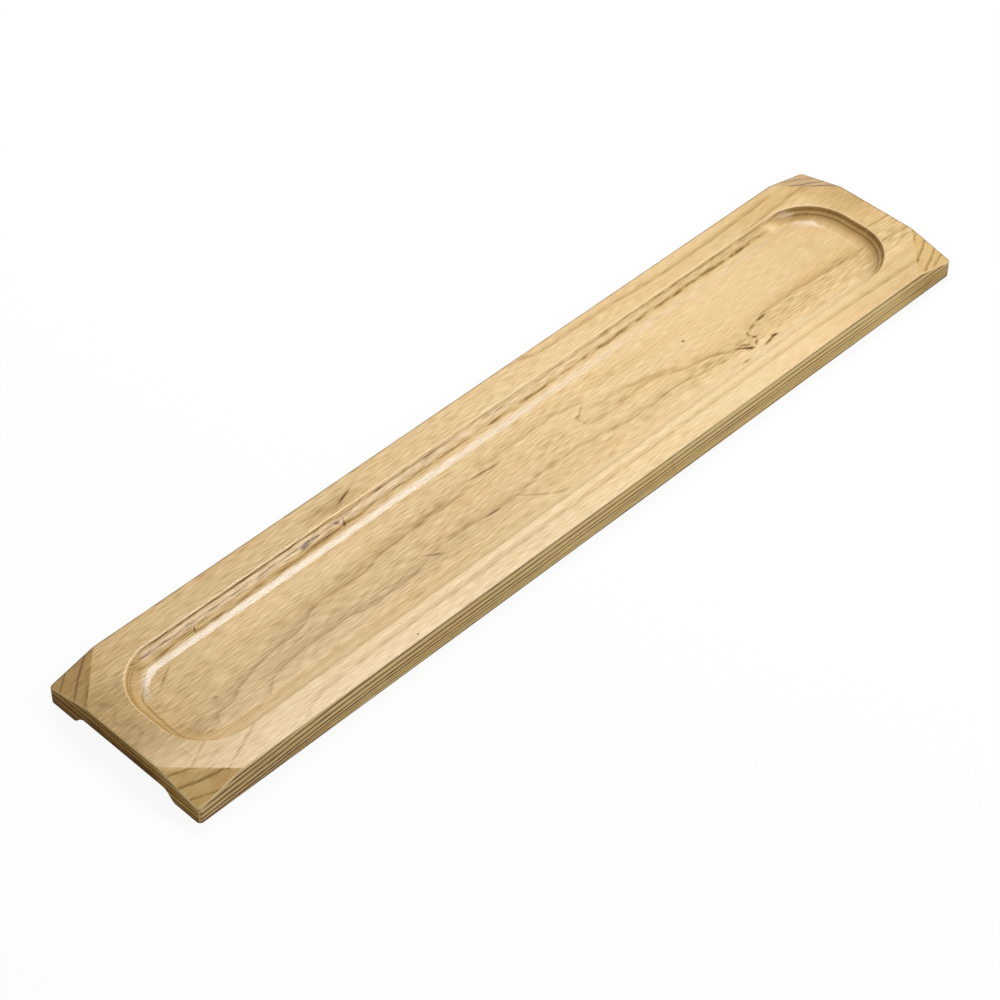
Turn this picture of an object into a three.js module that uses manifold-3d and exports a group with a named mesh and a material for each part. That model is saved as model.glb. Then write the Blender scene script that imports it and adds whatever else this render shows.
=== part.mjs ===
// A long wooden serving tray. Three staves are glued edge to edge into one board,
// and the board is then machined: a shallow round-ended recess on top, a flat facet
// across each top corner, and a moulded channel below that leaves two long feet.
// Sizes are in millimetres. X runs along the tray, Y across it and Z up.
// The feet stand on Z = 0, and the origin lies below the middle of the board.

import * as THREE from "three";
import { mergeVertices } from "three/addons/utils/BufferGeometryUtils.js";
import Module from "manifold-3d";

const wasm = await Module();
wasm.setup();

// Board
const trayLength = 505;
const trayWidth = 100;
const trayThickness = 16;
const cornerRadius = 2.2;
const arrisRadius = 0.8;

// Staves: the front and back ones have this width, and the middle one fills the rest
const outerStaveWidth = 23;

// Facet across each top corner
const facetAlongSide = 26.2;
const facetAlongEnd = 26.8;
const facetDrop = 6.5;

// Recess: a level floor that sweeps up to the rim in a cove
const sideRimWidth = 16;
const endRimWidth = 16;
const recessCornerRadius = 27.5;
const recessDepth = 6;
const coveRadius = 12.7;

// Channel along the underside, with a curved flank from each foot up to its ceiling
const footWidth = 16;
const channelHeight = 5.4;
const flankRun = 8.5;
const flankToe = 2.5;
const flankHead = 4.5;

// Steps in the rounded stretches
const cornerSteps = 5;
const arrisSteps = 3;
const recessCornerSteps = 14;
const coveSteps = 18;
const flankSteps = 10;

// How far the cutting solids reach past the faces that they cut
const cutterReach = 4;

const halfLength = trayLength / 2;
const halfWidth = trayWidth / 2;

function solidFrom(geometry) {
  geometry.deleteAttribute("normal");
  geometry.deleteAttribute("uv");
  const welded = mergeVertices(geometry);
  return new wasm.Manifold(new wasm.Mesh({
    numProp: 3,
    vertProperties: new Float32Array(welded.attributes.position.array),
    triVerts: new Uint32Array(welded.index.array),
  }));
}

function geometryFrom(solid) {
  const faces = solid.getMesh();
  const geometry = new THREE.BufferGeometry();
  geometry.setAttribute("position", new THREE.BufferAttribute(faces.vertProperties, 3));
  geometry.setIndex(new THREE.BufferAttribute(faces.triVerts, 1));
  geometry.computeVertexNormals();
  return geometry;
}

function roundedRectangle(halfX, halfY, radius) {
  const centreX = halfX - radius;
  const centreY = halfY - radius;
  const quarter = Math.PI / 2;
  const shape = new THREE.Shape();
  shape.absarc(centreX, centreY, radius, 0, quarter);
  shape.absarc(-centreX, centreY, radius, quarter, 2 * quarter);
  shape.absarc(-centreX, -centreY, radius, 2 * quarter, 3 * quarter);
  shape.absarc(centreX, -centreY, radius, 3 * quarter, 4 * quarter);
  return shape;
}

// The plain board, with rounded corners and its top and bottom arrises eased
function boardBlank() {
  const blank = new THREE.ExtrudeGeometry(roundedRectangle(halfLength, halfWidth, cornerRadius), {
    depth: trayThickness - 2 * arrisRadius,
    curveSegments: cornerSteps,
    bevelThickness: arrisRadius,
    bevelSize: arrisRadius,
    bevelOffset: -arrisRadius,
    bevelSegments: arrisSteps,
  });
  return solidFrom(blank.translate(0, 0, arrisRadius));
}

// The recess is drawn as its level floor, and the bevel round that floor is the cove
function recessCutter() {
  const coveRise = coveRadius - recessDepth;
  const coveRun = Math.sqrt(coveRadius ** 2 - coveRise ** 2);
  const floor = roundedRectangle(
    halfLength - endRimWidth - coveRun,
    halfWidth - sideRimWidth - coveRun,
    recessCornerRadius - coveRun,
  );
  const bowl = new THREE.ExtrudeGeometry(floor, {
    depth: cutterReach,
    curveSegments: recessCornerSteps,
    bevelThickness: coveRadius,
    bevelSize: coveRadius,
    bevelSegments: coveSteps,
  });
  return solidFrom(bowl.translate(0, 0, trayThickness - recessDepth + coveRadius));
}

// The channel's section is drawn across the tray and swept along it
function channelCutter() {
  const mouth = halfWidth - footWidth;
  const ceiling = mouth - flankRun;
  const section = new THREE.Shape();
  section.moveTo(mouth, -cutterReach);
  section.lineTo(mouth, 0);
  section.bezierCurveTo(
    mouth - flankToe, 0,
    ceiling + flankHead, channelHeight,
    ceiling, channelHeight,
  );
  section.lineTo(-ceiling, channelHeight);
  section.bezierCurveTo(
    -ceiling - flankHead, channelHeight,
    -mouth + flankToe, 0,
    -mouth, 0,
  );
  section.lineTo(-mouth, -cutterReach);
  const sweep = new THREE.ExtrudeGeometry(section, {
    depth: trayLength + 2 * cutterReach,
    curveSegments: flankSteps,
    bevelEnabled: false,
  });
  sweep.translate(0, 0, -halfLength - cutterReach);
  const alongX = new THREE.Matrix4().makeBasis(
    new THREE.Vector3(0, 1, 0),
    new THREE.Vector3(0, 0, 1),
    new THREE.Vector3(1, 0, 0),
  );
  return solidFrom(sweep.applyMatrix4(alongX));
}

// A block that stands on the plane of one corner's facet
function cornerCutter(signX, signY) {
  const onSide = new THREE.Vector3(signX * (halfLength - facetAlongSide), signY * halfWidth, trayThickness);
  const onEnd = new THREE.Vector3(signX * halfLength, signY * (halfWidth - facetAlongEnd), trayThickness);
  const corner = new THREE.Vector3(signX * halfLength, signY * halfWidth, trayThickness - facetDrop);
  const along = onEnd.clone().sub(onSide).normalize();
  const outward = along.clone().cross(corner.clone().sub(onSide)).normalize();
  if (outward.z < 0) {
    outward.negate();
  }
  const blockSize = 2 * (facetAlongSide + facetAlongEnd);
  const block = new THREE.BoxGeometry(blockSize, blockSize, facetDrop + cutterReach);
  block.translate(0, 0, (facetDrop + cutterReach) / 2);
  const onFacet = new THREE.Matrix4().makeBasis(along, outward.clone().cross(along), outward);
  onFacet.setPosition(corner);
  return solidFrom(block.applyMatrix4(onFacet));
}

function machinedBoard() {
  let board = boardBlank().subtract(recessCutter()).subtract(channelCutter());
  for (const signX of [-1, 1]) {
    for (const signY of [-1, 1]) {
      board = board.subtract(cornerCutter(signX, signY));
    }
  }
  return board;
}

// The strip of the board between two glue joints
function stave(board, name, lowY, highY, finish) {
  const strip = new THREE.BoxGeometry(
    trayLength + 2 * cutterReach,
    highY - lowY,
    trayThickness + 2 * cutterReach,
  );
  strip.translate(0, (lowY + highY) / 2, trayThickness / 2);
  const mesh = new THREE.Mesh(geometryFrom(board.intersect(solidFrom(strip))), finish);
  mesh.name = name;
  return mesh;
}

function oiledWood(color) {
  return new THREE.MeshStandardMaterial({ color, roughness: 0.5, metalness: 0 });
}

const board = machinedBoard();
const jointY = halfWidth - outerStaveWidth;
const pastEdge = halfWidth + cutterReach;

const tray = new THREE.Group();
tray.add(stave(board, "front_stave", -pastEdge, -jointY, oiledWood(0xd9b981)));
tray.add(stave(board, "middle_stave", -jointY, jointY, oiledWood(0xcfae74)));
tray.add(stave(board, "back_stave", jointY, pastEdge, oiledWood(0xd2b078)));

export default tray;
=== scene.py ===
"""Looks of the wooden serving tray: three glued staves of pale wood with a clear satin finish."""

import math

import bpy
import numpy as np
from mathutils import Matrix, Vector
from mathutils.geometry import delaunay_2d_cdt


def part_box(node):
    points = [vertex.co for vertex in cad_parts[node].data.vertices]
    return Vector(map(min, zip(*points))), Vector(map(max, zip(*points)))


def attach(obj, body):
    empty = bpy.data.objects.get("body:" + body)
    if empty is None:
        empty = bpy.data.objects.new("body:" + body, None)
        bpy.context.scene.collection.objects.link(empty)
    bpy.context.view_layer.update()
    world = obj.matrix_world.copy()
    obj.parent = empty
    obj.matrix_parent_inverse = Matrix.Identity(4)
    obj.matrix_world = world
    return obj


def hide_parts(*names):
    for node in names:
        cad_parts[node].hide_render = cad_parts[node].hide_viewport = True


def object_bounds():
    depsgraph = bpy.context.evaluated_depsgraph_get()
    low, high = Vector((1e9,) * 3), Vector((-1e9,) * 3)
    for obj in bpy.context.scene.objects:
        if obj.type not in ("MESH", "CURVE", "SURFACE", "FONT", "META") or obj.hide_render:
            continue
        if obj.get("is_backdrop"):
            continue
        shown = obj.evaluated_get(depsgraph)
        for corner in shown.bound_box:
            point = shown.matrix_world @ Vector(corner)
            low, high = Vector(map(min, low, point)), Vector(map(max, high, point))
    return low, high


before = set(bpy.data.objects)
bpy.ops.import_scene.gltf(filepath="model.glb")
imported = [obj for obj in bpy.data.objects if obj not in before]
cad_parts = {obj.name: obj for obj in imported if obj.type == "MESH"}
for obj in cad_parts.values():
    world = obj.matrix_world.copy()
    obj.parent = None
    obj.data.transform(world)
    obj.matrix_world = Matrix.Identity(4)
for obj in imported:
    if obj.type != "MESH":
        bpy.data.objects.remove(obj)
cad_low, cad_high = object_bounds()

MM = 0.001

# Board, in millimetres, taken from the frame
half_length = cad_high.x / MM
half_width = cad_high.y / MM
thickness = cad_high.z / MM
joint_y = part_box("middle_stave")[1].y / MM
corner_radius = 2.2
arris_radius = 0.9

# Facet across each top corner
facet_along_side = 26.2
facet_along_end = 26.8
facet_drop = 6.5
fold_ease = 0.7

# Recess: a level floor, a cove and an eased rim
rim_width = 16.0
recess_corner_radius = 27.5
recess_depth = 6.0
cove_radius = 12.7
rim_ease = 1.0

# Faint crease where the cove meets the floor: its slope there, and the slope by which it is gone
crease_slope = math.tan(math.radians(4.0))
crease_end = math.tan(math.radians(15.0))

# Channel below, between two long feet
foot_width = 16.0
channel_height = 5.4
flank_run = 8.5
flank_toe = 2.5
flank_head = 4.5

# Steps in the rounded stretches
corner_steps = 8
arris_steps = 6
recess_corner_steps = 28
rim_steps = 6
cove_steps = 26
flank_steps = 20
fold_steps = 6

# Sizes that count as none, and the digits that points of the outline keep
same_point = 1e-4
same_joint = 1e-3
at_floor = 1e-6
no_length = 1e-9
no_square = 1e-10
point_digits = 6

# Values that follow from the sizes above
rim_half_x = half_length - rim_width
rim_half_y = half_width - rim_width
floor_z = thickness - recess_depth
cove_centre_z = floor_z + cove_radius
cove_run = math.sqrt(cove_radius**2 - (cove_radius - recess_depth) ** 2)
ease_rise = cove_centre_z - thickness + rim_ease
ease_start = cove_run - math.sqrt((cove_radius + rim_ease) ** 2 - ease_rise**2)
ease_end = cove_run - (cove_run - ease_start) * cove_radius / (cove_radius + rim_ease)
fold_length = math.hypot(facet_along_side, facet_along_end)
facet_reach = facet_along_side * facet_along_end / fold_length
facet_slope = facet_drop / facet_reach
channel_mouth = half_width - foot_width
channel_ceiling = channel_mouth - flank_run


def box_distance(points, half_x, half_y, radius):
    """Distance of each point inside a rounded rectangle's edge, and the unit direction outwards there."""
    sign = np.where(points < 0, -1.0, 1.0)
    beyond = np.abs(points) - (np.array([half_x, half_y]) - radius)
    outside = np.maximum(beyond, 0.0)
    length = np.hypot(outside[:, 0], outside[:, 1])
    inside = np.minimum(beyond.max(axis=1), 0.0)
    nearest = np.zeros_like(points)
    nearest[np.arange(len(points)), beyond.argmax(axis=1)] = 1.0
    curved = length > no_length
    nearest[curved] = outside[curved] / length[curved, None]
    return radius - length - inside, nearest * sign


def recess_height(inward):
    """Height and slope of the top, by the distance inward from the rim's edge."""
    height = np.full_like(inward, thickness)
    slope = np.zeros_like(inward)
    eased = (inward > ease_start) & (inward <= ease_end)
    run = inward[eased] - ease_start
    rise = np.sqrt(rim_ease**2 - run**2)
    height[eased] = thickness - rim_ease + rise
    slope[eased] = -run / rise
    coved = (inward > ease_end) & (inward < cove_run)
    run = cove_run - inward[coved]
    rise = np.sqrt(cove_radius**2 - run**2)
    height[coved] = cove_centre_z - rise
    slope[coved] = -run / rise
    height[inward >= cove_run] = floor_z
    return height, slope


def facet_fall(points):
    """How far the corner facets lie below the top, and the gradient of that fall."""
    sign = np.where(points < 0, -1.0, 1.0)
    normal = np.array([facet_along_end, facet_along_side]) / fold_length
    past = (np.abs(points) - [half_length - facet_along_side, half_width]) @ normal
    fall = np.where(past > fold_ease, facet_slope * past, 0.0)
    grade = np.where(past > fold_ease, facet_slope, 0.0)
    folded = np.abs(past) <= fold_ease
    fall[folded] = facet_slope * (past[folded] + fold_ease) ** 2 / (4 * fold_ease)
    grade[folded] = facet_slope * (past[folded] + fold_ease) / (2 * fold_ease)
    return fall, grade[:, None] * normal * sign


def channel_section():
    """The flank's curve as rows of distance from the middle and height, from the ceiling to the foot."""
    t = np.linspace(0.0, 1.0, flank_steps + 1)[:, None]
    bends = np.array([
        [channel_ceiling, channel_height],
        [channel_ceiling + flank_head, channel_height],
        [channel_mouth - flank_toe, 0.0],
        [channel_mouth, 0.0],
    ])
    weights = np.hstack([(1 - t) ** 3, 3 * t * (1 - t) ** 2, 3 * t**2 * (1 - t), t**3])
    return weights @ bends


def arris_drop(points):
    """How far the eased outer arris falls away, and the gradient of that fall."""
    depth, outward = box_distance(points, half_length, half_width, corner_radius)
    run = arris_radius - np.clip(depth, 0.0, arris_radius)
    rise = np.sqrt(np.maximum(arris_radius**2 - run**2, no_square))
    return arris_radius - rise, (run / rise)[:, None] * outward


def top_surface(points):
    """Heights and normals of the upper side."""
    inside_rim, rim_out = box_distance(points, rim_half_x, rim_half_y, recess_corner_radius)
    height, slope = recess_height(inside_rim)
    creased = (inside_rim > ease_end) & (inside_rim < cove_run - at_floor) & (slope > -crease_end)
    slope[creased] = -crease_slope + slope[creased] * (1 - crease_slope / crease_end)
    fall, fall_grade = facet_fall(points)
    drop, drop_grade = arris_drop(points)
    grade = -slope[:, None] * rim_out - fall_grade - drop_grade
    normals = np.hstack([-grade, np.ones((len(points), 1))])
    return height - fall - drop, normals / np.linalg.norm(normals, axis=1)[:, None]


def bottom_surface(points):
    """Heights and normals of the underside."""
    section = channel_section()
    across = np.abs(points[:, 1])
    drop, grade = arris_drop(points)
    height = np.interp(across, section[:, 0], section[:, 1])
    slopes = np.gradient(section[:, 1], section[:, 0])
    slope = np.interp(across, section[:, 0], slopes) * np.where(points[:, 1] < 0, -1.0, 1.0)
    grade[:, 1] += slope
    normals = np.hstack([grade, -np.ones((len(points), 1))])
    return height + drop, normals / np.linalg.norm(normals, axis=1)[:, None]


def rounded_loop(half_x, half_y, radius, steps):
    """Points round a rounded rectangle, anticlockwise."""
    loop = []
    for turn, (sign_x, sign_y) in enumerate([(1, 1), (-1, 1), (-1, -1), (1, -1)]):
        for step in range(steps + 1):
            angle = math.pi / 2 * (turn + step / steps)
            loop.append((
                sign_x * (half_x - radius) + radius * math.cos(angle),
                sign_y * (half_y - radius) + radius * math.sin(angle),
            ))
    return loop


def fold_lines():
    """Straight lines across each corner, over the width of the eased fold."""
    lines = []
    for sign_x in (1, -1):
        for sign_y in (1, -1):
            for past in np.linspace(-fold_ease, fold_ease, fold_steps + 1):
                on_side = half_length - facet_along_side + past * fold_length / facet_along_end
                on_end = half_width - facet_along_end + past * fold_length / facet_along_side
                lines.append([
                    (sign_x * on_side, sign_y * half_width),
                    (sign_x * half_length, sign_y * on_end),
                ])
    return lines


def lengthwise_lines(distances):
    """Straight lines along the board, on both sides of its middle."""
    return [
        [(-half_length, sign * distance), (half_length, sign * distance)]
        for distance in distances
        for sign in (1, -1)
    ]


def on_grid(lines):
    """The same lines with every point rounded, so that points that coincide are equal."""
    return [
        [(round(float(x), point_digits), round(float(y), point_digits)) for x, y in line]
        for line in lines
    ]


def around(point):
    """Where a point of the outline lies round the board, as an angle scaled to the board's shape."""
    return math.atan2(point[1] / half_width, point[0] / half_length)


def triangulate(outline, loops, lines):
    """Triangles over the board that keep every given line as edges."""
    points = []
    edges = []
    for loop in [outline, *loops]:
        first = len(points)
        points.extend(loop)
        edges.extend((first + i, first + (i + 1) % len(loop)) for i in range(len(loop)))
    for line in lines:
        edges.append((len(points), len(points) + 1))
        points.extend(line)
    flat, _, faces, *_ = delaunay_2d_cdt([Vector(p) for p in points], edges, [], 0, same_point)
    return np.array([tuple(p) for p in flat]), [list(face) for face in faces]


def inset_loops(half_x, half_y, radius, steps, insets):
    """Rounded rectangles that step in from an outline."""
    return [rounded_loop(half_x - inset, half_y - inset, radius - inset, steps) for inset in insets]


def arris_loops():
    """Outlines that step in over the eased arris."""
    turns = [math.pi / 2 * step / arris_steps for step in range(1, arris_steps + 1)]
    insets = [arris_radius * (1 - math.cos(turn)) for turn in turns]
    return inset_loops(half_length, half_width, corner_radius, corner_steps, insets)


def recess_loops():
    """Outlines that step down over the eased rim and the cove to the floor."""
    widest = math.asin((ease_end - ease_start) / rim_ease)
    turns = [widest * step / rim_steps for step in range(rim_steps)]
    insets = [ease_start + rim_ease * math.sin(turn) for turn in turns]
    steepest = math.asin((cove_run - ease_end) / cove_radius)
    turns = [steepest * (1 - step / cove_steps) for step in range(cove_steps + 1)]
    insets += [cove_run - cove_radius * math.sin(turn) for turn in turns]
    return inset_loops(rim_half_x, rim_half_y, recess_corner_radius, recess_corner_steps, insets)


def board_skin():
    """Points, normals and faces of the whole board's outside."""
    folds = on_grid(fold_lines())
    joints = on_grid(lengthwise_lines([joint_y]))
    flanks = on_grid(lengthwise_lines(channel_section()[:, 0]))
    ends = {point for line in folds + joints + flanks for point in line}
    outline = on_grid([rounded_loop(half_length, half_width, corner_radius, corner_steps)])[0]
    outline = sorted(ends.union(outline), key=around)

    top, top_faces = triangulate(outline, arris_loops() + recess_loops(), folds + joints)
    bottom, bottom_faces = triangulate(outline, arris_loops(), joints + flanks)
    top_z, top_normals = top_surface(top)
    bottom_z, bottom_normals = bottom_surface(bottom)
    points = np.vstack([np.column_stack([top, top_z]), np.column_stack([bottom, bottom_z])])
    normals = np.vstack([top_normals, bottom_normals])
    faces = top_faces + [[len(top) + i for i in reversed(face)] for face in bottom_faces]

    def nearest(flat, point):
        return int(np.argmin(np.hypot(*(flat - point).T)))

    upper = [nearest(top, point) for point in outline]
    lower = [len(top) + nearest(bottom, point) for point in outline]
    for i in range(len(outline)):
        j = (i + 1) % len(outline)
        faces.append([lower[i], lower[j], upper[j], upper[i]])
    return points, normals, faces, len(top)


def joint_face(points, top_count, y, facing):
    """The flat glued face of a stave, as one polygon in order."""
    on_joint = np.flatnonzero(np.abs(points[:, 1] - y) < same_joint)
    above = sorted((i for i in on_joint if i < top_count), key=lambda i: points[i, 0])
    below = sorted((i for i in on_joint if i >= top_count), key=lambda i: -points[i, 0])
    ring = above + below
    return ring if facing > 0 else ring[::-1]


def make_stave(name, skin, low_y, high_y):
    """One stave: its share of the board's outside, closed by its glued faces."""
    points, normals, faces, top_count = skin
    kept = [face for face in faces if low_y < np.mean(points[face, 1]) < high_y]
    skin_count = len(kept)
    if low_y > -half_width:
        kept.append(joint_face(points, top_count, low_y, -1))
    if high_y < half_width:
        kept.append(joint_face(points, top_count, high_y, 1))
    used = sorted({i for face in kept for i in face})
    place = {old: new for new, old in enumerate(used)}
    mesh = bpy.data.meshes.new(name)
    mesh.from_pydata((points[used] * MM).tolist(), [], [[place[i] for i in face] for face in kept])
    mesh.shade_smooth()
    corner_normals = np.zeros((len(mesh.loops), 3))
    for polygon in mesh.polygons:
        if polygon.index < skin_count:
            corner_normals[polygon.loop_indices] = normals[[used[i] for i in polygon.vertices]]
        else:
            corner_normals[polygon.loop_indices] = polygon.normal
            for key in polygon.edge_keys:
                mesh.edges[mesh.edge_keys.index(key)].use_edge_sharp = True
    mesh.normals_split_custom_set(corner_normals.tolist())
    stave = bpy.data.objects.new(name, mesh)
    bpy.context.collection.objects.link(stave)
    return stave


class Value:
    """A number or colour that a shader works out at every point, with plain arithmetic."""

    def __init__(self, sheet, socket):
        self.sheet = sheet
        self.socket = socket

    def __add__(self, other):
        return self.sheet.math("ADD", self, other)

    __radd__ = __add__

    def __sub__(self, other):
        return self.sheet.math("SUBTRACT", self, other)

    def __rsub__(self, other):
        return self.sheet.math("SUBTRACT", other, self)

    def __mul__(self, other):
        return self.sheet.math("MULTIPLY", self, other)

    def __abs__(self):
        return self.sheet.math("ABSOLUTE", self)

    def larger(self, other):
        return self.sheet.math("MAXIMUM", self, other)

    def remap(self, low, high, to_low=0.0, to_high=1.0, kind="SMOOTHSTEP"):
        made = self.sheet.node("ShaderNodeMapRange", interpolation_type=kind)
        return self.sheet.fill(made, self, low, high, to_low, to_high)

    def fade(self, low, high):
        return self.remap(low, high, 1.0, 0.0)

    def past(self, edge, band, to_low=0.0, to_high=1.0):
        return self.remap(edge + band[0], edge + band[1], to_low, to_high)

    def before(self, edge, band):
        return self.past(edge, band, 1.0, 0.0)

    def colours(self, stops):
        made = self.sheet.node("ShaderNodeValToRGB")
        elements = made.color_ramp.elements
        for index, (position, colour) in enumerate(stops):
            element = elements[index] if index < len(elements) else elements.new(position)
            element.position = position
            element.color = colour
        return self.sheet.fill(made, self)

    def ramp(self, stops):
        return self.colours([(position, (level, level, level, 1.0)) for position, level in stops])

    def curve(self, points):
        made = self.sheet.node("ShaderNodeFloatCurve")
        stops = made.mapping.curves[0].points
        for index, point in enumerate(points):
            stop = stops[index] if index < len(stops) else stops.new(*point)
            stop.location = point
        made.mapping.update()
        self.sheet.feed(made.inputs["Value"], self)
        return Value(self.sheet, made.outputs[0])

    def tinted(self, share, tint):
        made = self.sheet.node("ShaderNodeMix", data_type="RGBA", blend_type="MULTIPLY")
        for socket, value in zip((made.inputs[0], made.inputs[6], made.inputs[7]), (share, self, tint)):
            self.sheet.feed(socket, value)
        return Value(self.sheet, made.outputs[2])


class Sheet:
    """Adds shader nodes to one material or world and links them."""

    def __init__(self, owner):
        owner.use_nodes = True
        self.tree = owner.node_tree
        self.tree.nodes.clear()

    def node(self, kind, **settings):
        made = self.tree.nodes.new(kind)
        for key, value in settings.items():
            setattr(made, key, value)
        return made

    def feed(self, socket, value):
        source = value.socket if isinstance(value, Value) else value
        if isinstance(source, bpy.types.NodeSocket):
            self.tree.links.new(source, socket)
        else:
            socket.default_value = source

    def fill(self, made, *values):
        for socket, value in zip(made.inputs, values):
            self.feed(socket, value)
        return Value(self, made.outputs[0])

    def math(self, operation, *values):
        return self.fill(self.node("ShaderNodeMath", operation=operation), *values)

    def combine(self, x, y, z):
        return self.fill(self.node("ShaderNodeCombineXYZ"), x, y, z)

    def split(self, vector):
        made = self.node("ShaderNodeSeparateXYZ")
        self.feed(made.inputs[0], vector)
        return [Value(self, output) for output in made.outputs]

    def noise(self, vector, detail):
        made = self.node("ShaderNodeTexNoise")
        self.feed(made.inputs["Vector"], vector)
        made.inputs["Scale"].default_value = 1.0
        made.inputs["Detail"].default_value = detail
        return Value(self, made.outputs[0])

    def show(self, kind, shader):
        self.feed(self.node(kind).inputs["Surface"], shader.outputs[0])


def srgb(red, green, blue):
    """A colour given as 8-bit sRGB, as a linear colour for a shader socket."""
    linear = []
    for level in (red, green, blue):
        share = level / 255
        linear.append(share / 12.92 if share <= 0.04045 else ((share + 0.055) / 1.055) ** 2.4)
    return (*linear, 1.0)


# Colours of the wood from the palest early wood to the darkest knot, by depth of tone
wood_tones = [
    (0.00, srgb(241, 216, 169)),
    (0.15, srgb(232, 202, 152)),
    (0.30, srgb(218, 187, 135)),
    (0.45, srgb(199, 166, 110)),
    (0.62, srgb(168, 134, 76)),
    (0.82, srgb(123, 88, 36)),
    (1.00, srgb(96, 60, 18)),
]

# Growth rings on the sides and ends, as height in the board and depth of tone of the late wood
ring_low = -3.0
ring_high = 24.0
rings = [
    (-1.2, 0.6), (1.0, 0.6), (3.0, 0.6), (4.5, 0.7), (6.3, 0.9), (8.5, 1.0), (11.5, 0.95), (14.9, 1.0),
    (17.8, 1.0), (20.5, 0.9),
]

# How far the rings dip along the tray, as place along it and fall
ring_dip_high = 6.0
ring_dip_low = -1.0
ring_dips = [
    (-252.5, 5.0), (-240, 4.4), (-215, 3.3), (-190, 1.7), (-160, 0.5), (-130, 0.1), (-60, 0.0), (0, -0.3),
    (90, -0.7), (150, -0.4), (190, 0.2), (220, 0.6), (252.5, 1.2),
]

# Rings that cross the two end walls of the recess, as height and depth of tone
far_wall_rings = [
    (10.0, 0.0), (10.3, 0.1), (11.0, 0.15), (11.4, 0.22), (11.8, 0.25), (12.3, 0.32), (12.55, 0.52),
    (12.8, 0.34), (13.2, 0.24), (13.6, 0.28), (14.0, 0.4), (14.45, 0.52), (14.75, 0.36), (15.3, 0.4),
    (15.5, 0.0), (16.0, 0.0),
]
near_wall_rings = [
    (10.0, 0.0), (12.4, 0.04), (13.4, 0.22), (13.7, 0.06), (14.2, 0.14), (14.5, 0.34), (14.8, 0.08),
    (16.0, 0.0),
]

# Noises of the wood: length and width of the spots in millimetres, and a shift that keeps them apart
drift_spots = (90.0, 14.0, 0.0)
feather_spots = (16.0, 0.8, 0.0)
bend_spots = (15.0, 6.0, 0.0)
ripple_spots = (55.0, 9.0, 0.0)
fibre_spots = (40.0, 1.1, 0.0)
dash_spots = (24.0, 0.5, 3.0)
speck_spots = (8.0, 0.45, 29.0)
band_spots = (110.0, 7.0, 7.0)
patch_spots = (45.0, 15.0, 11.0)
stroke_spots = (7.0, 0.4, 31.0)
gap_spots = (11.0, 3.0, 23.0)
blush_spots = (70.0, 11.0, 19.0)

# How far the noises move the grain, the drawn lines of the floor and rim, and the crisper ones elsewhere
grain_sway = 3.0
figure_feather = 2.0
figure_bend = 0.9
crisp_feather = 1.2
crisp_bend = 0.4

# Bands in which one surface gives way to the next, in millimetres from the edge or level in question
side_band = (-0.6, -0.2)
arris_band = (-1.1, -0.8)
facet_band = (-0.4, 0.4)
facet_skirt = (-1.5, -1.0)
recess_band = (0.3, 0.8)
recess_base = (-1.0, -0.3)
floor_band = (0.2, 1.6)
wall_foot = (0.1, 0.6)
wall_head = (-0.7, -0.15)
rim_band = (-0.8, -0.3)

# Bands of a surface's lean, as the share of its normal that points up, away or along the tray
away_lean = (0.15, 0.5)
arris_lean = (0.15, 0.4)
level_lean = (0.85, 0.97)
upright_lean = (0.1, 0.45)
end_lean = (0.5, 0.95)


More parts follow.
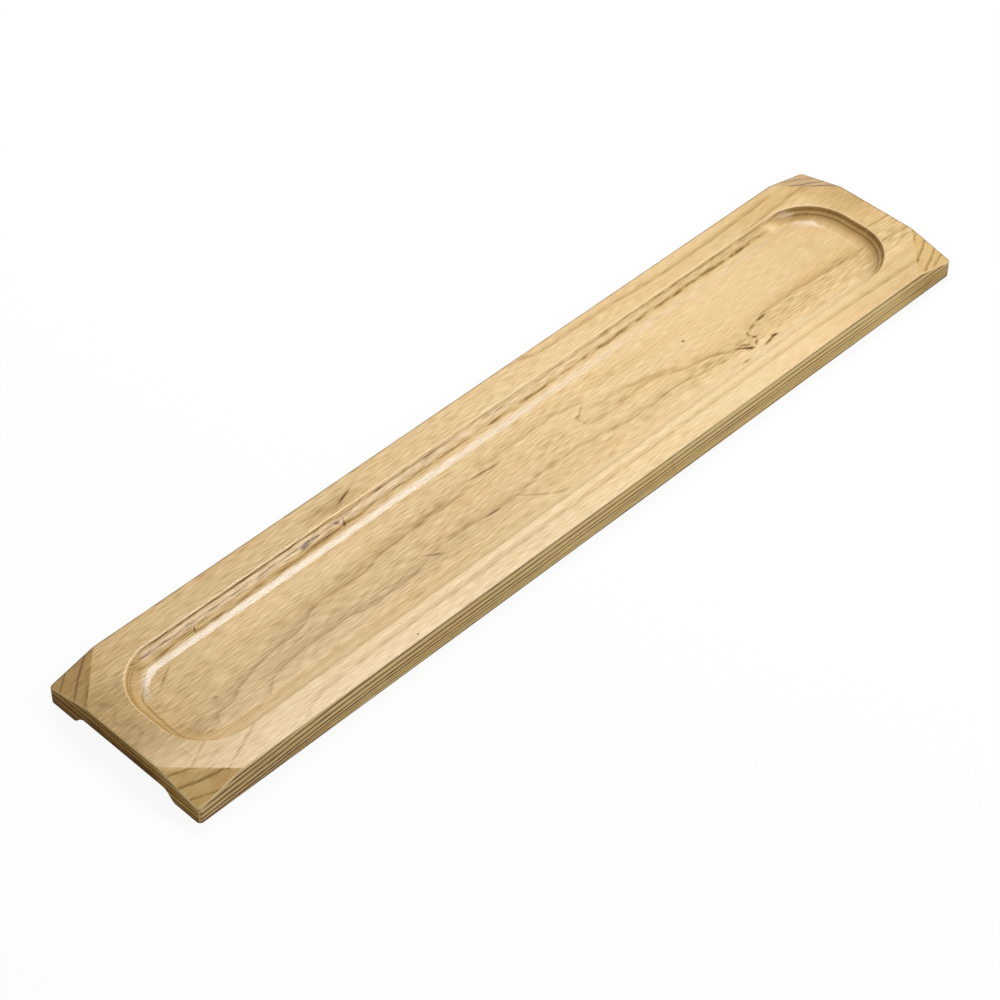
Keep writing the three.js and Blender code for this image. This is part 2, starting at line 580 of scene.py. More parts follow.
class Place:
    """Where a point of the wood is, in millimetres, and how its surface lies."""

    def __init__(self, sheet):
        self.sheet = sheet
        coordinates = sheet.node("ShaderNodeTexCoord")
        scaled = sheet.node("ShaderNodeVectorMath", operation="SCALE")
        sheet.feed(scaled.inputs[0], coordinates.outputs["Object"])
        scaled.inputs["Scale"].default_value = 1 / MM
        self.x, self.y, self.z = sheet.split(scaled.outputs[0])
        self.from_middle = abs(self.x)
        self.from_axis = abs(self.y)
        to_far_end, to_back, self.upward = sheet.split(coordinates.outputs["Normal"])
        self.endwise = abs(to_far_end)
        self.sidewise = abs(to_back)
        self.away = to_far_end.remap(*away_lean).larger(to_back.remap(*away_lean))
        self.end = self.endwise.remap(*end_lean)
        self.find_surfaces()
        self.find_grain()

    def near_outline(self, band):
        """1 at the board's outline, and 0 inside this band along it."""
        at_end = self.from_middle.past(half_length, band)
        return at_end.larger(self.from_axis.past(half_width, band))

    def find_surfaces(self):
        """How much a point belongs to the sides, the facets, the floor, the recess wall and the rim."""
        side = self.near_outline(side_band)
        inner = 1.0 - side
        past_end = (self.from_middle - (half_length - facet_along_side)) * (facet_along_end / fold_length)
        past_side = (self.from_axis - half_width) * (facet_along_side / fold_length)
        lifted = self.z.past(thickness - facet_drop, facet_skirt)
        self.facet = (past_end + past_side).remap(*facet_band) * lifted * inner
        in_length = self.from_middle.before(rim_half_x, recess_band)
        in_width = self.from_axis.before(rim_half_y, recess_band)
        self.inside = in_length * in_width * self.z.past(floor_z, recess_base)
        self.floor = self.inside * self.z.before(floor_z, floor_band)
        on_wall = self.z.past(floor_z, wall_foot) * self.z.before(thickness, wall_head)
        self.wall = self.inside * on_wall
        self.rim = self.z.past(thickness, rim_band) * inner
        rounded = self.upward.remap(*arris_lean) * self.upward.fade(*level_lean)
        self.arris = self.near_outline(arris_band) * rounded
        self.upright = side * self.upward.fade(*upright_lean)

    def find_grain(self):
        """Coordinates that follow the sway of the grain and the rough edges of the drawn figure."""
        self.grain_z = self.z * self.upright
        self.drift = self.noise(drift_spots, self.y) - 0.5
        self.grain_y = self.y + self.drift * grain_sway
        feather = self.noise(feather_spots, self.y) - 0.5
        bend = self.noise(bend_spots, self.y) - 0.5
        self.figure_x = self.x + feather * figure_feather
        self.figure_y = self.y + bend * figure_bend
        self.crisp_x = self.x + feather * crisp_feather
        self.crisp_y = self.y + bend * crisp_bend
        self.fibre = self.noise(fibre_spots, self.grain_y)

    def noise(self, spots, y, detail=2.0):
        """A noise with spots of this length and width, where y is the place across the tray."""
        along, across, shift = spots
        vector = (self.x * (1 / along) + shift, y * (1 / across), self.grain_z * (1 / across))
        return self.sheet.noise(self.sheet.combine(*vector), detail)


# Drawn lines: the dark core's greatest width, share of the fade and tone at its edge, and room for the curve
core_width = 1.8
core_share = 0.6
core_edge = 0.42
curve_room = 1.0

# Drawn marks: share of the radius over which they fade
mark_fade = 0.75


def drawn_line(run, aside, points, fade, sharp, depth, taper=0.06):
    """A line through given points, of late wood or, with a negative depth, a pale line of painted highlight:
    soft on the side of the fade, crisp on the other.
    """
    start, end = points[0][0], points[-1][0]
    low = min(place for _, place in points) - curve_room
    high = max(place for _, place in points) + curve_room
    along = run.remap(start, end, kind="LINEAR")
    shape = [((x - start) / (end - start), (y - low) / (high - low)) for x, y in points]
    off = aside - (along.curve(shape) * (high - low) + low)
    side = 1.0 if fade > 0 else -1.0
    width = abs(fade) + sharp
    peak = abs(fade) / width
    core = min(core_width, abs(fade) * core_share) / width
    profile = [(0.0, 0.0), (peak - core, core_edge), (peak, 1.0), (1.0, 0.0)]
    dark = (off * (side / width) + peak).ramp(profile)
    return dark * along.curve([(0.0, 0.0), (taper, 1.0), (1.0 - taper, 1.0), (1.0, 0.0)]) * depth


def drawn_mark(spot, centre, size, angle, depth):
    """A fleck, streak, knot or patch, or with a negative depth a pale patch of painted highlight: an ellipse
    of this half length and half width, turned by an angle.
    """
    sheet = spot.sheet
    mapping = sheet.node("ShaderNodeMapping", vector_type="TEXTURE")
    turn = (0.0, 0.0, math.radians(angle))
    ball = sheet.node("ShaderNodeTexGradient", gradient_type="SPHERICAL")
    sheet.fill(ball, sheet.fill(mapping, spot, (*centre, 0.0), turn, (*size, 1.0)))
    return Value(sheet, ball.outputs["Fac"]).remap(0.0, mark_fade, 0.0, depth)


def figure_tone(place, figure, surface):
    """Depth of tone of the drawn figure and any pale painted highlights: lines along the tray, lines across
    it and marks.
    """
    lines, cross_lines, marks = figure
    feathered = surface in ("floor", "rim")
    run = place.figure_x if feathered else place.crisp_x
    aside = place.figure_y if feathered else place.crisp_y
    drawn = [drawn_line(run, aside, *line) for line in lines]
    drawn += [drawn_line(place.crisp_y, place.crisp_x, *line) for line in cross_lines]
    spot = place.sheet.combine(place.crisp_x, place.z if surface == "side" else place.crisp_y, 0.0)
    drawn += [drawn_mark(spot, *mark) for mark in marks]
    return sum(drawn)


# Fine grain: contrast of the dashes and specks, and depth of tone of each kind
dash_contrast = (0.38, 0.66)
dash_change = (0.3, 0.7, 0.06, 0.11)
speck_contrast = (0.3, 0.7)
speck_depth = 0.29
fibre_depth = 0.08
band_depth = 0.1

# Where the fine grain is calmer: on faces that cross it, towards the far end and at the near rim
across_rise = (0.05, 0.4)
across_fall = (0.9, 0.97)
across_calm = 0.6
far_stretch = (20.0, 190.0)
far_back_calm = (-14.0, -6.0, 1.1, 0.45)
far_front_calm = (-32.0, -26.0, 0.45, 1.0)
near_calm_reach = 12.0
near_calm = 0.6


def grain_tone(place):
    """Depth of tone of the fine grain: dashes, specks, fibres and bands of late wood."""
    dash = place.noise(dash_spots, place.grain_y, detail=1.0).remap(*dash_contrast)
    speck = place.noise(speck_spots, place.grain_y, detail=0.0).remap(*speck_contrast)
    dash_depth = place.noise(patch_spots, place.grain_y, detail=1.0).remap(*dash_change)
    grain = (dash - 0.5) * dash_depth + (speck - 0.5) * speck_depth + (place.fibre - 0.5) * fibre_depth
    across = place.endwise.remap(*across_rise) * place.endwise.fade(*across_fall)
    far_calm = place.y.remap(*far_back_calm) * place.y.remap(*far_front_calm)
    calm = (1.0 - across * across_calm) * place.x.remap(*far_stretch, 1.0, far_calm)
    calm = calm * place.x.remap(-half_length, -rim_half_x + near_calm_reach, near_calm, 1.0)
    band = place.noise(band_spots, place.grain_y) - 0.5
    return grain * calm + band * band_depth


# A ring of late wood: its rise and fall, the tone at its foot, its contrast and its ripple
ring_rise = 0.95
ring_fall = 0.75
ring_foot = 0.1
ring_contrast = (0.1, 0.75)
ring_ripple = 0.7

# How much of the rings is lost on the ends, and how they fade along the far end of the sides
ring_end_loss = 0.6
ring_far_change = (170.0, 230.0, 1.0, 0.45)

# Threads between the rings: length along the sides and across the ends, spacing, shift and tone
thread_length = 60.0
thread_end_length = 40.0
thread_rate = 2.0
thread_shift = 5.0
thread_depth = 1.7
thread_lift = -1.05

# Tone of the ends, and painted shade at the edge of the feet and over the channel
end_change = (-26.0, -20.0, 0.4, 0.49)
foot_edge_shade_change = (0.6, 1.8, 0.8, 0.0)
channel_shade_reach = (0.8, 4.4)
channel_shade_depth = 0.85
channel_shade_change = (16.0, 26.0, 1.0, 0.1)


def ring_tone(place):
    """Depth of tone of the growth rings, which dip towards the ends."""
    along = place.x.remap(-half_length, half_length, kind="LINEAR")
    reach = ring_dip_high - ring_dip_low
    dips = [((x + half_length) / (2 * half_length), (fall - ring_dip_low) / reach) for x, fall in ring_dips]
    dip = along.curve(dips) * reach + ring_dip_low
    ripple = (place.noise(ripple_spots, place.y) - 0.5) * ring_ripple
    height = place.z + dip + ripple + place.drift
    stops = []
    for z, level in rings:
        stops += [(z - ring_rise, ring_foot * level), (z, level), (z + ring_fall, 0.0)]
    span = ring_high - ring_low
    stops = [((z - ring_low) / span, level) for z, level in stops]
    return ((height - ring_low) * (1 / span)).ramp(stops).remap(*ring_contrast)


def upright_tone(place):
    """Depth of tone on the sides and ends: rings, threads, and painted shade at the feet and over the
    channel.
    """
    ring = ring_tone(place) * (1.0 - place.end * ring_end_loss) * place.x.remap(*ring_far_change)
    rate = place.end * (1 / thread_end_length - thread_rate) + thread_rate
    vector = (place.x * (1 / thread_length) + thread_shift, place.y * rate, place.z * thread_rate)
    thread = place.sheet.noise(place.sheet.combine(*vector), detail=1.0)
    # Painted shade over the channel, strongest near the middle
    channel_shade = place.z.past(channel_height, channel_shade_reach, channel_shade_depth, 0.0)
    channel_shade = channel_shade * place.from_axis.remap(*channel_shade_change)
    on_end = (place.y.remap(*end_change) + channel_shade) * place.end
    tone = ring + thread * thread_depth + thread_lift + place.z.remap(*foot_edge_shade_change) + on_end
    return tone * place.upright


# Slow changes of tone: the stretch of each in millimetres, and the tone at both its ends
end_rim_margin = 5.0
end_rim_reach = 8.0
# Painted shade on the rims at both ends, deepening towards the back
near_rim_shade_change = (-25.0, -2.0, -0.15, 0.06)
far_rim_shade_change = (-10.0, 15.0, 0.02, 0.16)
# Painted shade on the facets, deeper on the near ones
facet_stretch = (-20.0, 20.0)
front_facet_shade_tones = (0.31, 0.24)
back_facet_shade_tones = (0.33, 0.31)
# Painted shade over the near half and towards the near end
near_half_shade_change = (-100.0, 50.0, 0.14, 0.0)
near_end_shade_change = (-half_length, -190.0, 0.15, 0.0)
near_back_share = (-10.0, 40.0, 0.9, 0.65)
near_front_share = (-44.0, -24.0, 0.5, 1.0)
# Painted shade towards the far end, deeper at the front
far_end_stretch = (140.0, 230.0)
far_end_shade_change = (-40.0, -20.0, 0.2, 0.1)
# Painted light on the front cove, paler where it falls in shade
front_cove_start = (-34.0, -30.0)
front_cove_light_change = (-24.0, -20.0, -0.09, 0.0)
far_back_stretch = (60.0, 160.0)
far_back_change = (30.0, 36.0, 0.0, 0.06)
front_floor_stretch = (-120.0, -60.0)
front_floor_change = (-16.0, -4.0, 0.05, 0.0)
near_side_change = (-half_length, -20.0, 0.2, -0.15)
far_side_change = (190.0, 240.0, 0.0, 0.52)


def broad_tone(place):
    """Slow changes of tone over the board, on its rims, facets, level faces and long sides. Those on the end
    rims, on the facets and towards both ends are painted shade, and the one on the front cove is painted
    light.
    """
    near_rim = place.x.fade(-half_length + end_rim_margin, -rim_half_x + end_rim_reach)
    far_rim = place.x.remap(rim_half_x - end_rim_reach, half_length - end_rim_margin)
    rims = near_rim * place.y.remap(*near_rim_shade_change) + far_rim * place.y.remap(*far_rim_shade_change)
    front_facet = place.x.remap(*facet_stretch, *front_facet_shade_tones)
    back_facet = place.x.remap(*facet_stretch, *back_facet_shade_tones)
    facets = place.y.remap(*facet_stretch, front_facet, back_facet)
    near = place.x.remap(*near_half_shade_change) + place.x.remap(*near_end_shade_change)
    near = near * place.y.remap(*near_back_share) * place.y.remap(*near_front_share)
    far = place.x.remap(*far_end_stretch, 0.0, place.y.remap(*far_end_shade_change))
    far_back = place.x.remap(*far_back_stretch) * place.y.remap(*far_back_change)
    front_cove = place.y.remap(*front_cove_start) * place.y.remap(*front_cove_light_change)
    front_floor = place.x.remap(*front_floor_stretch) * place.y.remap(*front_floor_change)
    level = near + far + far_back + (front_cove + front_floor) * place.inside
    sides = place.x.remap(*near_side_change, kind="LINEAR") + place.x.remap(*far_side_change)
    tone = rims * place.rim + facets * place.facet + level * (1.0 - place.upright - place.facet)
    return tone + sides * (1.0 - place.end) * place.upright


# Edges: painted highlight on the arrises and painted shade on those that lean away, painted shade on the
# back and far-end edges, and a painted highlight on the eased edge round the recess
painted_arris_highlight = -0.22
painted_arris_shade = 0.6
edge_shade_band = (-1.4, -0.7)
edge_shade_depth = 0.3
edge_shade_lean = (0.5, 0.8)
eased_rim_start = (-0.65, -0.4)
eased_rim_stop = (-0.08, -0.01)
eased_rim_front_share = (-30.0, -10.0, 0.3, 1.0)
painted_rim_highlight = -0.26


def eased_rim_mask(place):
    """1 on the eased edge of the recess, which carries a pale line of painted highlight, fainter along the
    front, else 0.
    """
    there = place.z.past(thickness, eased_rim_start) * place.z.before(thickness, eased_rim_stop)
    return there * place.inside * place.y.remap(*eased_rim_front_share)


def edge_tone(place, eased_rim):
    """Depth of tone of the painted highlight and shade on the arrises and outer edges, and of the painted
    highlight on the eased rim edge.
    """
    # Painted shade along the back and far-end edges, and painted highlight and shade on the arrises
    back_edge = place.y.past(half_width, edge_shade_band, 0.0, edge_shade_depth)
    far_edge = place.x.past(half_length, edge_shade_band, 0.0, edge_shade_depth)
    far_edge_shade = (back_edge + far_edge) * place.upward.remap(*edge_shade_lean)
    return place.arris * (place.away * painted_arris_shade + painted_arris_highlight) + far_edge_shade + eased_rim * painted_rim_highlight


# Recess walls: where the end walls start, the strokes on the back wall and the gaps in its drawn lines
far_wall_start = (204.0, 222.0)
near_wall_end = (-226.0, -212.0)
stroke_contrast = (0.48, 0.64)
stroke_change = (-100.0, -60.0, 0.26, 0.12)
stroke_start = (29.6, 30.6)
gap_contrast = (0.38, 0.6)
gap_change = (-90.0, -60.0, 0.75, 0.25)


def wall_tone(place):
    """Depth of tone of the rings on the two end walls and of the strokes on the back wall."""
    height = place.z.remap(floor_z, thickness, kind="LINEAR")
    stroke = place.noise(stroke_spots, place.y, detail=0.0)
    stroke = stroke.remap(*stroke_contrast, 0.0, place.x.remap(*stroke_change))
    tone = stroke * place.y.remap(*stroke_start) * place.wall
    far_wall = place.x.remap(*far_wall_start)
    near_wall = place.x.fade(*near_wall_end)
    for wall_rings, shown in ((far_wall_rings, far_wall), (near_wall_rings, near_wall)):
        stops = [((z - floor_z) / recess_depth, level) for z, level in wall_rings]
        tone = tone + height.ramp(stops) * shown * place.inside
    return tone


def drawn_tone(place, figures):
    """Depth of tone of all the drawn figure and its painted highlights, each part on its own surface."""
    gaps = place.noise(gap_spots, place.y).remap(*gap_contrast, place.x.remap(*gap_change), 1.0)
    shown = {
        "floor": place.floor,
        "wall": place.wall * gaps,
        "rim": place.rim,
        "facet": place.facet,
        "side": place.upright,
    }
    return sum(figure_tone(place, figure, surface) * shown[surface] for surface, figure in figures.items())


# Tints of the redder patches, of the upright faces and of the ends, and the painted highlight at the foot of
# the back cove
blush_tint = (0.99, 0.93, 0.87, 1.0)
side_tint = (1.0, 0.96, 0.72, 1.0)
end_tint = (1.0, 0.97, 0.82, 1.0)
cove_highlight_tint = (0.9, 0.95, 1.18, 1.0)

# Where the tints and the painted highlight lie
blush_change = (0.42, 0.72, 0.0, 0.8)
facet_tint_share = 0.5
cove_foot_start = (0.003, 0.02)
cove_foot_stop = (0.3, 0.7)
cove_foot_back = (8.0, 16.0)
cove_foot_change = (0.0, 90.0, 1.0, 0.35)


def wood_colour(place, depth):
    """The wood's colour by depth of tone, with its tints and the painted highlight at the foot of the back
    cove.
    """
    blush = place.noise(blush_spots, place.grain_y).remap(*blush_change)
    # Painted highlight: the foot of the back cove is made paler and bluer, fading towards the far end
    painted_highlight_band = place.z.past(floor_z, cove_foot_start) * place.z.before(floor_z, cove_foot_stop)
    painted_highlight_band = painted_highlight_band * place.inside * place.y.remap(*cove_foot_back) * place.x.remap(*cove_foot_change)
    colour = depth.colours(wood_tones).tinted(blush, blush_tint)
    colour = colour.tinted(place.upright + place.facet * facet_tint_share, side_tint)
    return colour.tinted(place.end * place.upright, end_tint).tinted(painted_highlight_band, cove_highlight_tint)


# Finish: roughness by the fibres, and what cut grain, the upright faces and the eased rim edge add to it
fibre_gloss = (0.2, 0.8, 0.19, 0.23)
cut_sidewise = 0.8
cut_gloss = (0.08, 0.16, 0.0, 0.35)
upright_gloss = 0.35
eased_rim_gloss = 0.25
bump_strength = 0.06
bump_height = 0.08
refraction = 1.42


def wood(name, tone, figures):
    """Clear-finished pale wood. The figures are the drawn parts of the grain, with pale lines and patches of
    painted highlight and sheen, by the surface they lie on.
    """
    material = bpy.data.materials.new(name)
    sheet = Sheet(material)
    place = Place(sheet)
    eased_rim = eased_rim_mask(place)
    depth = grain_tone(place) + tone + upright_tone(place) + broad_tone(place)
    depth = depth + edge_tone(place, eased_rim) + wall_tone(place) + drawn_tone(place, figures)
    cut_across = place.endwise - place.sidewise * cut_sidewise
    roughness = place.fibre.remap(*fibre_gloss, kind="LINEAR") + cut_across.remap(*cut_gloss)
    roughness = roughness + place.upright * upright_gloss + eased_rim * eased_rim_gloss
    bump = sheet.node("ShaderNodeBump")
    bump.inputs["Strength"].default_value = bump_strength
    bump.inputs["Distance"].default_value = bump_height * MM
    sheet.feed(bump.inputs["Height"], place.fibre)
    shader = sheet.node("ShaderNodeBsdfPrincipled")
    sheet.feed(shader.inputs["Base Color"], wood_colour(place, depth))
    sheet.feed(shader.inputs["Roughness"], roughness)
    sheet.feed(shader.inputs["Normal"], bump.outputs[0])
    shader.inputs["IOR"].default_value = refraction
    sheet.show("ShaderNodeOutputMaterial", shader)
    return material


# Figure on the recess floor. Lines: points along the tray, fade, crisp width and depth of tone
floor_lines = [
    ([(-215, -25), (-212.5, -18), (-210, -14.9), (-201, -14), (-195, -11), (-184, -7.5), (-170, -4.6),
      (-154, -3.4), (-147, -2), (-141, 1), (-136, 2), (-115, 2.2), (-102, 2.5), (-98, 4.4), (-80, 5.4),
      (-47, 6), (-31, 7)],
     -10.0, 1.0, 0.21),
    ([(-187.5, -25), (-184, -20.5), (-181, -18), (-174, -14.8), (-160, -13.7), (-147, -13.4),
      (-131, -13.4), (-120, -15.5), (-100, -15.6), (-86, -15)],
     -9.0, 1.0, 0.2),
    ([(-76, -12.4), (-71, -10.6), (-58, -10.9), (-44, -12), (-24, -12.5), (-15, -11.5), (-5, -10.5),
      (19, -10.5), (31, -12), (40, -13.4), (52, -15), (62, -15.5), (82, -15), (100, -17), (118, -20)],
     -5.0, 0.9, 0.17),
    ([(-24, 11.6), (-10, 12.4), (10, 12.9), (25, 12.9), (35, 11.6), (42, 10.2), (46, 8.9)],
     -6.0, 0.8, 0.18),
    ([(34.5, 0.5), (35.5, -2.6), (40, -4), (52, -4.6), (65, -3.7), (80, -3), (91, -6.5), (99, -9.6),
      (109, -11.5), (117, -14), (121, -16.5), (127, -18.5), (132, -22)],
     -6.0, 1.1, 0.2),
    ([(44, 3.6), (59, 2.5), (72, 0.4), (85, -2.4), (96, -6)], -3.5, 0.8, 0.16),
    ([(137.5, -14.5), (139.5, -13), (144, -11.5), (150, -10.6), (160, -9), (180, -9.2), (199, -10.5),
      (217, -12), (228, -13)],
     -7.0, 1.5, 0.17),
    ([(-23, -12), (-15, -19), (-7, -25), (4, -29.5)], 1.3, 1.3, 0.2),
]
# Marks: centre, half length and half width, angle and depth of tone
floor_marks = [
    ((-22, 9.5), (15, 1.1), -6, 0.46),
    ((-60, 7.8), (18, 1.0), 2, 0.16),
    ((-98, -27), (11, 1.0), 0, 0.18),
    ((-205, -7), (2.2, 0.9), -15, 0.32),
    ((-77, -12.5), (7, 1.1), -33, 0.3),
    ((-38.5, -12.7), (7, 0.8), -4, 0.36),
    ((36, 4.2), (3.0, 1.0), 8, 0.46),
    ((40.5, 6.6), (6, 1.0), 33, 0.25),
    ((35, 0.6), (3.5, 1.0), 100, 0.18),
    ((128.5, -19.6), (6, 0.9), -36, 0.34),
    ((131.2, -21.8), (3.6, 1.6), -30, 0.5),
    ((131, -18.6), (5, 1.0), -36, 0.34),
    ((136.8, -21), (3.4, 1.2), 32, 0.42),
    ((138.9, -17.7), (2.8, 1.2), 108, 0.34),
    ((137.8, -14.6), (2.6, 1.2), 66, 0.32),
    ((143, -12.4), (4.5, 1.1), 18, 0.26),
    ((152, -10.5), (5, 1.2), 6, 0.42),
    ((142.5, -24.8), (6.5, 1.4), 14, 0.5),
    ((147, -23.8), (3.0, 1.7), -10, 0.6),
    ((111.7, 4.8), (1.1, 0.9), 0, 0.9),
    ((-212, 18), (12, 0.9), 34, 0.16),
    ((-216, 16), (9, 0.8), 34, 0.14),
    # Pale patch: painted sheen on the floor next to the back cove's highlight
    ((-130, 16), (110, 9), 0, -0.1),
    ((-180, 0), (34, 7), 0, -0.06),
    ((-222, -14), (14, 9), 0, 0.08),
    ((18, 0), (45, 9), 0, 0.05),
    ((-80, -15), (34, 6), 0, 0.06),
    ((150, -15), (70, 8), 0, 0.06),
    ((70, 14), (34, 6), 0, 0.07),
]
front_floor_marks = [
    ((122.5, -28), (5, 1.5), -6, 0.9),
]

# Figure on the back wall of the recess and round the near end, with pale lines and patches of painted
# highlight and sheen
wall_lines = [
    ([(-224, 30), (-219, 32.4), (-213, 33.45), (-190, 33.55), (-150, 33.55), (-120, 33.7), (-95, 33.75)],
     -0.4, 0.3, 0.62, 0.03),
    ([(-100, 32.4), (-90, 32.55), (-60, 32.95), (-30, 32.7), (-5, 32.5)], -0.45, 0.2, 0.28, 0.1),
    ([(-4, 32.2), (20, 32.25), (40, 32.45), (70, 32.8), (100, 33.0), (170, 33.0), (212, 32.6)],
     -0.45, 0.25, 0.36, 0.05),
    # Pale line: painted highlight along the eased rim edge
    ([(-85, 33.6), (0, 33.5), (90, 33.6)], -0.5, 0.45, -0.16),
    ([(-217, 31.0), (-190, 31.4), (-160, 31.4), (-125, 31.7), (-100, 31.8), (-85, 32.2)],
     -0.5, 0.4, 0.4),
    # Pale line: painted sheen on the upper back wall
    ([(-215, 32.3), (-190, 32.6), (-120, 32.7), (-95, 32.8)], -0.5, 0.45, -0.3),
    ([(-221, 26.9), (-215, 28.1), (-205, 28.2), (-197, 29.1), (-188, 29.5), (-185, 28.4), (-180, 27.8),
      (-165, 27.9), (-150, 28.4), (-130, 28.7), (-112, 28.9), (-95, 29.1)],
     2.0, 0.9, 0.26, 0.08),
    ([(-115, 29.0), (-90, 29.2), (-60, 29.7), (-30, 29.5), (0, 29.2), (40, 29.1), (70, 29.6), (100, 29.9),
      (170, 29.9), (205, 29.0)],
     -1.5, 0.6, 0.32, 0.05),
    ([(0, 29.2), (40, 29.3), (70, 29.6), (100, 29.9), (170, 29.9), (205, 29.3)], -1.2, 0.6, 0.2, 0.1),
    ([(65, 28.9), (110, 29.2), (160, 29.3), (195, 29.1)], -0.8, 0.5, 0.3),
]
wall_marks = [
    # Pale patches: painted sheen on the upper back wall, and a painted highlight in the far-back corner
    ((-130, 31.6), (110, 1.9), 0, -0.16),
    ((50, 31.2), (150, 2.2), 0, -0.14),
    ((208, 28.5), (12, 3.5), -25, -0.25),
    ((-116, 31.2), (4.5, 1.0), 6, 0.6),
    ((-110, 31.5), (4.5, 0.8), 0, 0.5),
    ((-96, 31.4), (2.5, 0.8), -10, 0.55),
    ((-93, 30.2), (2.8, 0.9), 60, 0.55),
    ((-185.5, 28.9), (2.0, 0.6), 60, 0.5),
    ((-69, 32.9), (3.5, 0.5), 0, 0.5),
    ((-40, 33.0), (14, 0.5), 0, 0.22),
    ((160, 33.0), (7, 0.4), 0, 0.35),
]
near_wall_lines = [
    ([(27.5, -212), (24.9, -218), (19.4, -223.4), (13.3, -229.1), (6.2, -230.3), (-2.3, -231),
      (-10.2, -231.3), (-17, -231)],
     -1.0, 0.6, 0.26),
]

# Figure on the rim and the facets
near_corner_line = ([(-242, -34), (-235, -30), (-226, -25)], 1.6, 1.0, 0.2)
front_rim_lines = [
    ([(-191, -51), (-186, -47.5), (-177, -43.5), (-165, -41.6), (-148, -41), (-120, -40.4), (-60, -40.2),
      (60, -39.6), (150, -39.5), (205, -41), (240, -42)],
     -3.0, 1.0, 0.2),
    ([(-232, -46), (-219, -40), (-206, -34)], 1.6, 1.0, 0.2),
    near_corner_line,
]
front_rim_marks = [
    ((-60, -36), (210, 2.4), 0, -0.08),
    ((-120, -47), (0.9, 0.8), 0, 0.8),
    ((-121, -36.6), (0.7, 0.6), 0, 0.5),
]
front_facet_lines = [
    ([(-256, -28), (-251.5, -29.8), (-247.5, -31.7), (-242, -34.5), (-236, -39)], -1.4, 0.6, 0.26),
    ([(-256, -35.4), (-251, -37.4), (-243, -40.9), (-238, -42.7), (-234, -43.7), (-230, -46)],
     -1.6, 0.6, 0.28),
    ([(-256, -42), (-251.4, -44.2), (-244, -47.9), (-238, -50.6), (-235, -52)], -1.4, 0.6, 0.2),
    ([(226, -47.5), (231.5, -44.3), (237.6, -40.7), (243.7, -37.8), (250, -34.3), (255, -31)],
     -1.8, 0.6, 0.26),
    ([(230, -51), (235.6, -47.7), (242.8, -44.5), (250.2, -40.6), (255, -38)], -1.6, 0.6, 0.26),
    ([(238, -50), (243, -47.8), (249.7, -45.1), (255, -43)], -1.4, 0.6, 0.22),
    ([(238, -35), (243.4, -32), (248.8, -28.9), (254, -26)], -1.6, 0.6, 0.18),
]
near_corner_mark = ((-240, 23), (20, 13), 0, 0.05)
middle_rim_marks = [near_corner_mark]
middle_rim_lines = [
    near_corner_line,
    ([(236, -7.6), (245, -8.2), (254, -9)], -1.6, 0.8, 0.2),
    ([(233, -20), (244, -21), (254, -22)], -1.8, 0.8, 0.2),
]
near_rim_lines = [
    ([(24, -247), (20, -245), (15, -243), (11, -247), (7, -248.5), (3, -244), (-1, -243), (-6, -247)],
     3.0, 1.6, 0.07),
]
back_rim_lines = [
    ([(28, 50), (42, 47), (53, 44.6), (88, 44), (108, 43.4), (136, 41.8), (188, 42.5), (222, 44.5)],
     -3.0, 0.9, 0.2),
    ([(186, 33.5), (202, 34.8), (216, 36), (240, 37)], -2.0, 0.9, 0.16),
]
back_rim_marks = [
    ((-84, 39.8), (8.5, 0.9), 19, 0.45),
    ((-92, 39.5), (22, 5.5), 0, 0.2),
    near_corner_mark,
]
back_facet_lines = [
    ([(-256, 29), (-250.9, 33.5), (-243.3, 40.6), (-238.8, 44.2), (-234.7, 47.4), (-230, 51)],
     1.6, 0.6, 0.24),
    ([(-256, 20), (-251.6, 24.2), (-243.1, 33), (-236.1, 39.3), (-230.1, 45.9), (-226, 50)],
     1.6, 0.7, 0.18),
    ([(-256, 40), (-252, 42.8), (-247.5, 46.2), (-243.9, 49.1), (-241, 52)], 1.6, 0.6, 0.2),
    ([(227, 46), (231, 43.7), (238.8, 40), (247, 36.8), (254, 32)], 1.4, 0.6, 0.36),
    ([(232, 39), (237, 36.5), (242.7, 33.2), (249.8, 29), (254, 26)], 1.4, 0.6, 0.32),
    ([(234, 49), (239, 46.9), (244.9, 45.1), (250.1, 42), (254, 40)], 1.4, 0.6, 0.28),
]
front_side_marks = [
    ((45, 8), (7.5, 1.6), 105, 0.22),
]

# Figures of each stave by surface: lines along the tray, lines across it and marks
nothing = []
front_figures = {
    "floor": (nothing, nothing, front_floor_marks),
    "side": (nothing, nothing, front_side_marks),
    "rim": (front_rim_lines, nothing, front_rim_marks),
    "facet": (front_facet_lines, nothing, nothing),
}
middle_figures = {
    "floor": (floor_lines, nothing, floor_marks),
    "wall": (nothing, near_wall_lines, nothing),
    "rim": (middle_rim_lines, near_rim_lines, middle_rim_marks),
}
back_figures = {
    "wall": (wall_lines, near_wall_lines, wall_marks),
    "rim": (back_rim_lines, nothing, back_rim_marks),
    "facet": (back_facet_lines, nothing, nothing),
}


def make_camera():
    """The camera that gives the photograph's view, fitted to the tray's edges."""
    azimuth = math.radians(-45.184)
    elevation = math.radians(44.923)
    distance = 1.46208
    aside = -0.014786
    raised = -0.012628
    back = Vector((
        math.sin(azimuth) * math.cos(elevation),
        -math.cos(azimuth) * math.cos(elevation),
        math.sin(elevation),
    ))
    right = Vector((0, 0, 1)).cross(back).normalized()
    up = back.cross(right)
    data = bpy.data.cameras.new("camera")
    data.sensor_width = 36.0
    data.lens = 110.79
    camera = bpy.data.objects.new("camera", data)
    turn = Matrix((right, up, back)).transposed().to_4x4()
    camera.matrix_world = Matrix.Translation(back * distance + right * aside + up * raised) @ turn
    bpy.context.collection.objects.link(camera)
    bpy.context.scene.camera = camera


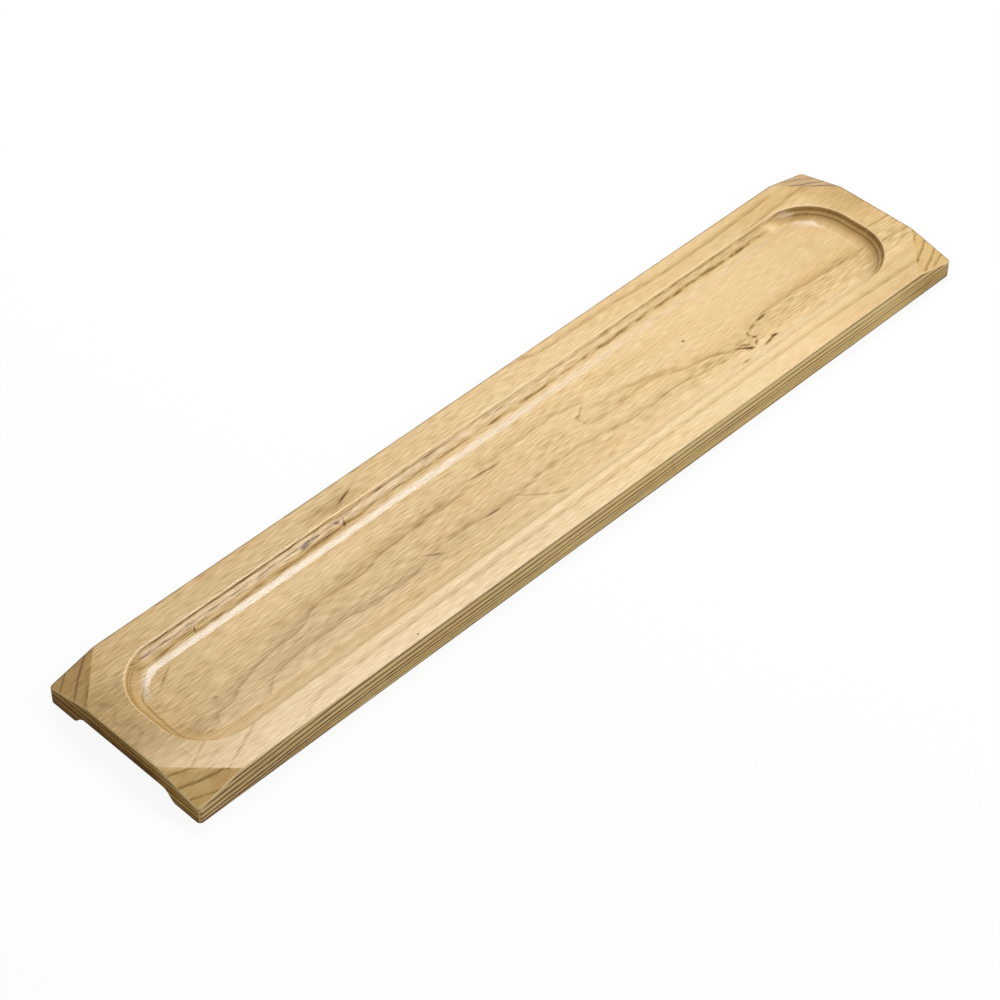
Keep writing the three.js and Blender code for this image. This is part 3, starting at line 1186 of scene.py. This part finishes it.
# Lamps: name, place, target, size and power. The first four shine straight down
lamps = [
    ("key", (0.435, 0.415, 1.2), (0.435, 0.415, 0.0), (0.39, 0.57), 9.7),
    ("key_side", (0.71, 0.32, 1.2), (0.71, 0.32, 0.0), (0.16, 0.76), 2.8),
    ("key_tail", (0.555, 0.06, 1.2), (0.555, 0.06, 0.0), (0.15, 0.14), 0.4),
    ("key_far", (0.84, 0.35, 1.2), (0.84, 0.35, 0.0), (0.10, 0.70), 0.7),
    ("front_fill", (0.55, -0.97, 0.94), (0.0, 0.0, 0.0), (0.52, 0.74), 6.2),
]

# Floor: half its width, its shade in bounced light, what is added where it is seen, and its glow there
floor_reach = 6.0
floor_shade = 0.45
floor_seen = 0.5
floor_glow = 0.92

# Surroundings: their strength as light, and what is added where they are seen
world_strength = 0.3
world_seen = 0.7


def area_light(name, place, target, size, power):
    """A rectangular lamp that shines from its place towards a target."""
    data = bpy.data.lights.new(name, "AREA")
    data.shape = "RECTANGLE"
    data.size, data.size_y = size
    data.energy = power
    light = bpy.data.objects.new(name, data)
    light.location = place
    light.rotation_mode = "QUATERNION"
    light.rotation_quaternion = (Vector(target) - Vector(place)).to_track_quat("-Z", "Y")
    bpy.context.collection.objects.link(light)


def seen_directly(sheet):
    """1 for rays of the camera, of reflections and of clear materials, else 0."""
    path = sheet.node("ShaderNodeLightPath")
    seen = sheet.math("MAXIMUM", path.outputs["Is Camera Ray"], path.outputs["Is Glossy Ray"])
    return sheet.math("MAXIMUM", seen, path.outputs["Is Transmission Ray"])


def make_floor():
    """A floor that is seen as white and keeps the soft shadow below the tray."""
    mesh = bpy.data.meshes.new("floor")
    corners = [(floor_reach * x, floor_reach * y, 0.0) for x, y in ((-1, -1), (1, -1), (1, 1), (-1, 1))]
    mesh.from_pydata(corners, [], [(0, 1, 2, 3)])
    floor = bpy.data.objects.new("floor", mesh)
    bpy.context.collection.objects.link(floor)
    material = bpy.data.materials.new("white_floor")
    sheet = Sheet(material)
    seen = seen_directly(sheet)
    shade = seen * floor_seen + floor_shade
    matt = sheet.node("ShaderNodeBsdfDiffuse")
    sheet.feed(matt.inputs["Color"], sheet.combine(shade, shade, shade))
    glow = sheet.node("ShaderNodeEmission")
    blend = sheet.node("ShaderNodeMixShader")
    sheet.fill(blend, seen * floor_glow, matt.outputs[0], glow.outputs[0])
    sheet.show("ShaderNodeOutputMaterial", blend)
    mesh.materials.append(material)
    floor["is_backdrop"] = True


def make_world():
    """White surroundings that light the tray softly."""
    world = bpy.data.worlds.new("studio")
    bpy.context.scene.world = world
    sheet = Sheet(world)
    background = sheet.node("ShaderNodeBackground")
    background.inputs["Color"].default_value = (1.0, 1.0, 1.0, 1.0)
    strength = seen_directly(sheet) * world_seen + world_strength
    sheet.feed(background.inputs["Strength"], strength)
    sheet.show("ShaderNodeOutputWorld", background)


make_camera()
make_world()
make_floor()
for lamp in lamps:
    area_light(*lamp)

# Staves: name, edges across the board, depth of tone and drawn figure
staves = [
    ("front", -half_width, -joint_y, 0.155, front_figures),
    ("middle", -joint_y, joint_y, 0.25, middle_figures),
    ("back", joint_y, half_width, 0.24, back_figures),
]

skin = board_skin()
for side, low, high, tone, figures in staves:
    piece = make_stave(side + "_board", skin, low, high)
    piece.data.materials.append(wood(side + "_figured_wood", tone, figures))
    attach(piece, "root")
    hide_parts(side + "_stave")
    side + "_wood"

bpy.context.scene.view_settings.view_transform = "Standard"

low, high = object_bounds()
{"cad": [list(cad_low), list(cad_high)], "visual": [list(low), list(high)]}
